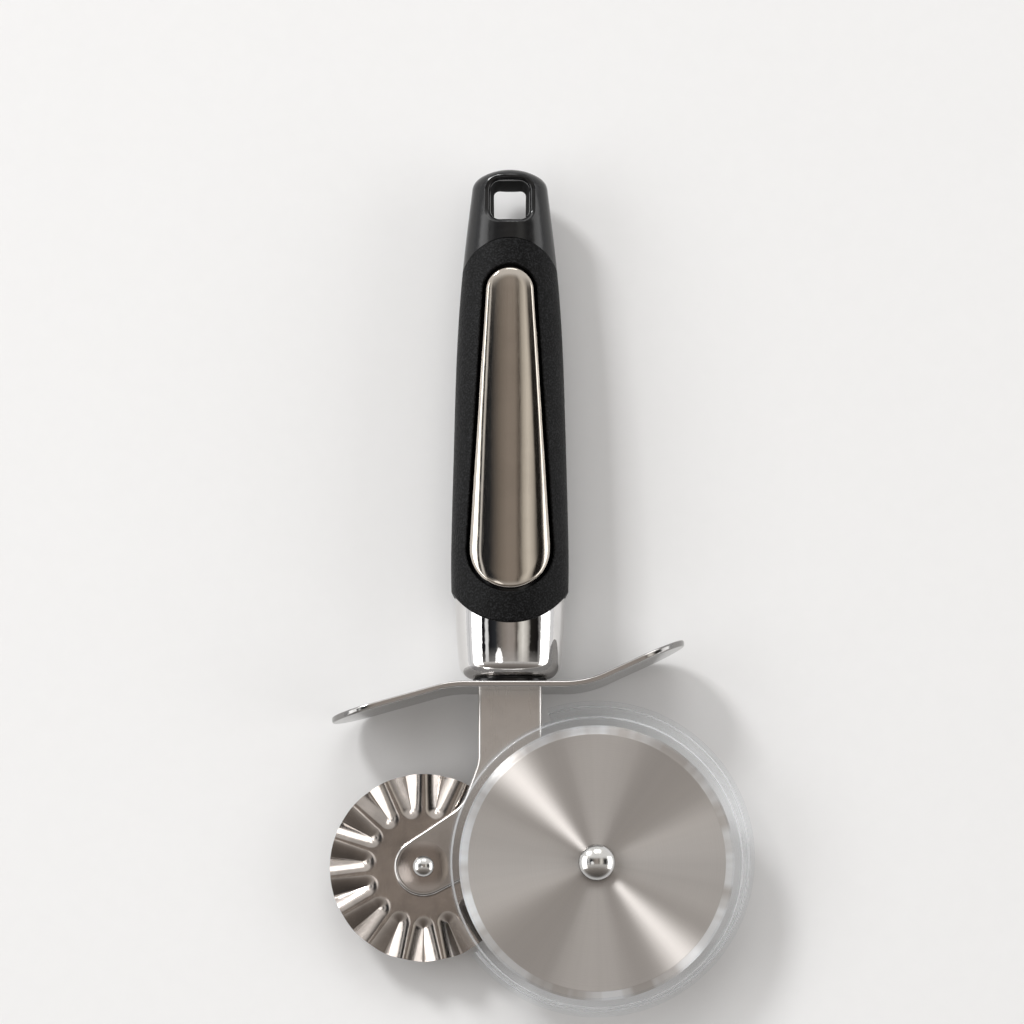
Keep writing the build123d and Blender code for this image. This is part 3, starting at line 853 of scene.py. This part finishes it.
class PIZZAWHEEL_OT_pastry_wheel(Operator):
    """Press the fluted pastry wheel from a round sheet"""

    bl_idname = "pizzawheel.pastry_wheel"
    bl_label = "Pastry wheel"

    ring_count = 56
    steps_per_flute = 40
    rim_margin = 0.00006
    roughness = 0.15
    streak = 0.003
    dullest = 0.72

    def execute(self, context):
        sizes = context.scene.pizzawheel_pastry
        steels = context.scene.pizzawheel_steels
        bm = bmesh.new()
        bmesh.ops.create_circle(bm, cap_ends=False, radius=sizes.bore,
                                segments=sizes.flute_count * self.steps_per_flute)
        edges = bm.edges[:]
        radius = sizes.bore
        run = pastry_radius - self.rim_margin - sizes.bore
        for ring in range(self.ring_count):
            target = sizes.bore + run * (ring + 1) / self.ring_count
            made = bmesh.ops.extrude_edge_only(bm, edges=edges)["geom"]
            verts = [item for item in made if isinstance(item, bmesh.types.BMVert)]
            bmesh.ops.scale(bm, vec=(target / radius, target / radius, 1), verts=verts)
            edges = outer_edges(made, set(verts))
            radius = target
        for vert in bm.verts:
            vert.co.z = -flute_sink(vert.co.x, vert.co.y, sizes)
        bmesh.ops.recalc_face_normals(bm, faces=bm.faces)
        bmesh.ops.solidify(bm, geom=bm.faces[:], thickness=-sizes.sheet)
        bmesh.ops.translate(bm, vec=(pastry_axle.x, pastry_axle.y, pastry_high.z), verts=bm.verts)
        material = polished_steel("pastry_wheel_steel", steels.pastry_colour, self.roughness, self.streak,
                                  dullest=self.dullest)
        finished_piece("pastry_wheel_pressed", bm, material, "pastry_wheel", "pastry_wheel")
        return {"FINISHED"}


class PIZZAWHEEL_OT_blade_guard(Operator):
    """Form the clear ring that covers the pizza wheel's edge"""

    bl_idname = "pizzawheel.blade_guard"
    bl_label = "Blade guard"

    step = math.radians(1.0)
    line_width = 0.0004
    # How much of what lies behind is hidden, faced and grazed
    film_cover = (0.010, 0.30)
    bend_cover = (0.30, 0.80)

    def execute(self, context):
        sizes = context.scene.pizzawheel_guard
        front, back = guard_high.z, guard_low.z
        wall_front = pizza_radius + sizes.front_margin
        wall_back = wall_front + sizes.wall_lean
        flange_top = back + sizes.film
        fall = (front - sizes.notch_level) / (front - flange_top)
        notch_radius = wall_front + (wall_back - wall_front) * fall
        lip = [(pizza_radius - sizes.lip_overlap, front), (wall_front, front),
               (notch_radius, sizes.notch_level)]
        full = lip + [(wall_back, flange_top), (wall_back + sizes.flange_run, flange_top)]
        notch_sweep = sizes.notch_stop - sizes.notch_start
        bm = bmesh.new()
        spun_profile(bm, full, (1, 3), sizes.bend, sizes.notch_stop, math.tau - notch_sweep, self.step)
        spun_profile(bm, lip, (1,), sizes.bend, sizes.notch_start, notch_sweep, self.step)
        bmesh.ops.remove_doubles(bm, verts=bm.verts, dist=merge_distance)
        bmesh.ops.recalc_face_normals(bm, faces=bm.faces)
        for vert in bm.verts:
            vert.co.y += sizes.back_shift * (front - vert.co.z) / (front - back)
        bmesh.ops.translate(bm, vec=(pizza_axle.x, pizza_axle.y, 0), verts=bm.verts)
        bmesh.ops.solidify(bm, geom=bm.faces[:], thickness=-sizes.film)
        # The film's free edges and its bends show as lines, painted as a more opaque, lighter film that
        # stands in for their reflections
        lines = full[:2] + full[3:]
        for face in bm.faces:
            middle = face.calc_center_median()
            shift = sizes.back_shift * (front - middle.z) / (front - back)
            radius = math.hypot(middle.x - pizza_axle.x, middle.y - pizza_axle.y - shift)
            near = min(math.hypot(radius - reach, middle.z - level) for reach, level in lines)
            face.material_index = int(near < self.line_width)
        film = clear_plastic("clear_film", sizes.film_colour, *self.film_cover)
        piece = finished_piece("blade_guard_film", bm, film, "blade_guard", "blade_guard")
        # Painted reflection: the bends' film hides more of what lies behind, so it shows as light lines
        piece.data.materials.append(clear_plastic("clear_bends", sizes.bend_colour, *self.bend_cover))
        return {"FINISHED"}


def softbox(name, place, target, width, length, power, shape="RECTANGLE"):
    """Area light that looks at a point and keeps its length along the handle."""
    lamp = bpy.data.lights.new(name, "AREA")
    lamp.shape = shape
    lamp.size = width
    lamp.size_y = length
    lamp.energy = power
    holder = bpy.data.objects.new(name, lamp)
    away = (place - target).normalized()
    across = Vector((0, 1, 0)).cross(away).normalized()
    turn = Matrix((across, away.cross(across), away)).transposed()
    holder.matrix_world = Matrix.Translation(place) @ turn.to_4x4()
    holder.visible_camera = False
    bpy.context.scene.collection.objects.link(holder)


class PIZZAWHEEL_OT_stage(Operator):
    """Set the floor, the soft lights and the camera"""

    bl_idname = "pizzawheel.stage"
    bl_label = "Stage"

    lens = 240.0
    clip_end = 20.0
    camera_target = (0.0005, -0.0743, 0.0)
    floor_reach = 3.0
    floor_roughness = 0.8
    floor_specular = 0.1
    speck_size = 0.004
    speck_tone = 0.99
    # Name, place from the object's middle, width and length of each softbox
    softboxes = (
        ("key", (-2.2, 2.675, 2.075), 0.8, 0.8),
        ("left", (-1.7, 0.0, 0.96), 0.80, 1.8),
        ("right", (1.8, 0.0, 0.80), 0.80, 1.8),
        ("top", (0.12, 1.7, 1.24), 1.0, 0.6),
    )
    card_place = (-0.075, -0.007, 0.30)
    card_size = (0.08, 0.07)
    # Degrees from overhead to the right, and the ceiling's colour there
    panels = (
        (-82, (0.10, 0.10, 0.11)), (-78, (0.85, 0.85, 0.86)), (-62, (0.75, 0.75, 0.77)),
        (-57, (0.010, 0.010, 0.012)), (-43, (0.012, 0.012, 0.015)), (-41, (0.90, 0.90, 0.90)),
        (-37, (0.85, 0.85, 0.85)), (-35, (0.010, 0.010, 0.012)), (-23, (0.03, 0.032, 0.036)),
        (-10, (0.26, 0.23, 0.205)), (-2, (0.35, 0.31, 0.28)), (6, (0.34, 0.30, 0.27)),
        (11, (0.10, 0.085, 0.075)), (15, (0.60, 0.57, 0.52)), (21, (0.90, 0.87, 0.81)),
        (28, (0.60, 0.57, 0.53)), (34, (0.020, 0.018, 0.016)), (48, (0.010, 0.009, 0.009)),
        (53, (0.36, 0.35, 0.34)), (64, (0.40, 0.39, 0.38)), (69, (0.90, 0.90, 0.90)),
        (90, (0.85, 0.85, 0.85)),
    )
    # How far a direction leans towards the handle's end, and the colour and cover of the ceiling there
    ends = (
        (-0.90, (0.09, 0.082, 0.075, 1)), (-0.62, (0.20, 0.18, 0.165, 1)), (-0.46, (0.28, 0.255, 0.235, 1)),
        (-0.34, (0.42, 0.40, 0.38, 1)), (-0.18, (0.60, 0.58, 0.56, 1)), (-0.07, (0.40, 0.38, 0.36, 0)),
        (0.24, (0.40, 0.37, 0.34, 0)), (0.42, (0.80, 0.79, 0.78, 1)),
    )
    horizon_colour = (0.80, 0.80, 0.81, 1)
    horizon_span = (0.08, 0.35)

    def execute(self, context):
        stage = context.scene.pizzawheel_stage
        self.make_floor(stage)
        self.make_world(context)
        centre = (cad_low + cad_high) / 2
        for name, place, width, length in self.softboxes:
            power = getattr(stage, name + "_power")
            softbox(name + "_softbox", centre + Vector(place), centre, width, length, power)
        softbox("flute_card", pastry_axle + Vector(self.card_place), pastry_axle, *self.card_size,
                stage.card_power, "ELLIPSE")
        self.make_camera(context, stage)
        context.scene.view_settings.view_transform = "Standard"
        return {"FINISHED"}

    def make_floor(self, stage):
        """Wide pale floor with faint specks, at the object's lowest level."""
        bm = bmesh.new()
        bmesh.ops.create_grid(bm, x_segments=1, y_segments=1, size=self.floor_reach)
        bmesh.ops.translate(bm, vec=(0, 0, cad_low.z), verts=bm.verts)
        mesh = bpy.data.meshes.new("floor")
        bm.to_mesh(mesh)
        bm.free()
        material, tree, shader = new_material("pale_floor")
        specks = noise(tree, pattern_place(tree), self.speck_size, detail=3.0)
        speck_colour = shade(stage.floor_colour, self.speck_tone)
        tree.links.new(tones(tree, specks, speck_colour, stage.floor_colour), shader.inputs["Base Color"])
        shader.inputs["Roughness"].default_value = self.floor_roughness
        shader.inputs["Specular IOR Level"].default_value = self.floor_specular
        mesh.materials.append(material)
        floor = bpy.data.objects.new("floor", mesh)
        bpy.context.scene.collection.objects.link(floor)

    def bands(self, tree, value, reach, edges):
        """Bands of colour over a value that runs from minus to plus its reach."""
        ramp = tree.nodes.new("ShaderNodeValToRGB")
        tree.links.new(spread(tree, value, 0.0, 1.0, -reach, reach), ramp.inputs["Fac"])
        stops = ramp.color_ramp.elements
        while len(stops) > 1:
            stops.remove(stops[-1])
        for index, (edge, colour) in enumerate(edges):
            stop = stops[0] if index == 0 else stops.new(edge / 2 + 0.5)
            stop.position = edge / 2 + 0.5
            stop.color = colour
        return ramp

    def make_world(self, context):
        """Studio ceiling of long pale and dark panels along the handle, over a pale horizon."""
        world = bpy.data.worlds.new("studio")
        context.scene.world = world
        world.use_nodes = True
        tree = world.node_tree
        background = next(node for node in tree.nodes if node.type == "BACKGROUND")
        source = tree.nodes.new("ShaderNodeTexCoord")
        parts = tree.nodes.new("ShaderNodeSeparateXYZ")
        tree.links.new(source.outputs["Generated"], parts.inputs["Vector"])
        lean = sums(tree, "ARCTAN2", parts.outputs["X"], parts.outputs["Z"])
        edges = [(angle / 90, (*colour, 1)) for angle, colour in self.panels]
        panels = self.bands(tree, lean, math.pi / 2, edges)
        ends = self.bands(tree, parts.outputs["Y"], 1.0, self.ends)
        ceiling = blended(tree, ends.outputs["Alpha"], panels.outputs["Color"], ends.outputs["Color"])
        low = spread(tree, parts.outputs["Z"], 1.0, 0.0, *self.horizon_span)
        studio = blended(tree, low, ceiling, self.horizon_colour)
        tree.links.new(studio, background.inputs["Color"])

    def make_camera(self, context, stage):
        """Long lens that looks steeply down on the object."""
        lens = bpy.data.cameras.new("camera")
        lens.lens = self.lens
        lens.clip_end = self.clip_end
        camera = bpy.data.objects.new("camera", lens)
        context.scene.collection.objects.link(camera)
        distance = stage.view_width * self.lens / lens.sensor_width
        back = Vector((0, -math.cos(stage.elevation), math.sin(stage.elevation)))
        camera.location = Vector(self.camera_target) + back * distance
        camera.rotation_euler = (-back).to_track_quat("-Z", "Y").to_euler()
        context.scene.camera = camera


class PIZZAWHEEL_PT_panel(Panel):
    """Sizes, colours and steps of the double pizza wheel"""

    bl_label = "Double Pizza Wheel"
    bl_idname = "PIZZAWHEEL_PT_panel"
    bl_space_type = "VIEW_3D"
    bl_region_type = "UI"
    bl_category = "Pizza Wheel"

    def draw(self, context):
        for name, kind in groups.items():
            box = self.layout.box()
            for setting in kind.__annotations__:
                box.prop(getattr(context.scene, name), setting)
        for operator in steps:
            self.layout.operator(operator.bl_idname)


steps = (
    PIZZAWHEEL_OT_handle,
    PIZZAWHEEL_OT_inlay,
    PIZZAWHEEL_OT_bright_trim,
    PIZZAWHEEL_OT_arm,
    PIZZAWHEEL_OT_rivets,
    PIZZAWHEEL_OT_pastry_washer,
    PIZZAWHEEL_OT_pizza_wheel,
    PIZZAWHEEL_OT_pastry_wheel,
    PIZZAWHEEL_OT_blade_guard,
    PIZZAWHEEL_OT_stage,
)
groups = {
    "pizzawheel_handle": HandleSettings,
    "pizzawheel_inlay": InlaySettings,
    "pizzawheel_steels": SteelSettings,
    "pizzawheel_rivets": RivetSettings,
    "pizzawheel_washer": WasherSettings,
    "pizzawheel_pastry": PastryWheelSettings,
    "pizzawheel_guard": BladeGuardSettings,
    "pizzawheel_stage": StageSettings,
}
classes = (*groups.values(), *steps, PIZZAWHEEL_PT_panel)


def register():
    """Register the settings, the steps and the panel."""
    for item in classes:
        bpy.utils.register_class(item)
    for name, kind in groups.items():
        setattr(bpy.types.Scene, name, PointerProperty(type=kind))


def unregister():
    """Take the settings, the steps and the panel out again."""
    for name in groups:
        delattr(bpy.types.Scene, name)
    for item in reversed(classes):
        bpy.utils.unregister_class(item)


def main():
    """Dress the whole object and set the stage."""
    register()
    for operator in steps:
        section, name = operator.bl_idname.split(".")
        getattr(getattr(bpy.ops, section), name)()


if __name__ == "__main__":
    main()
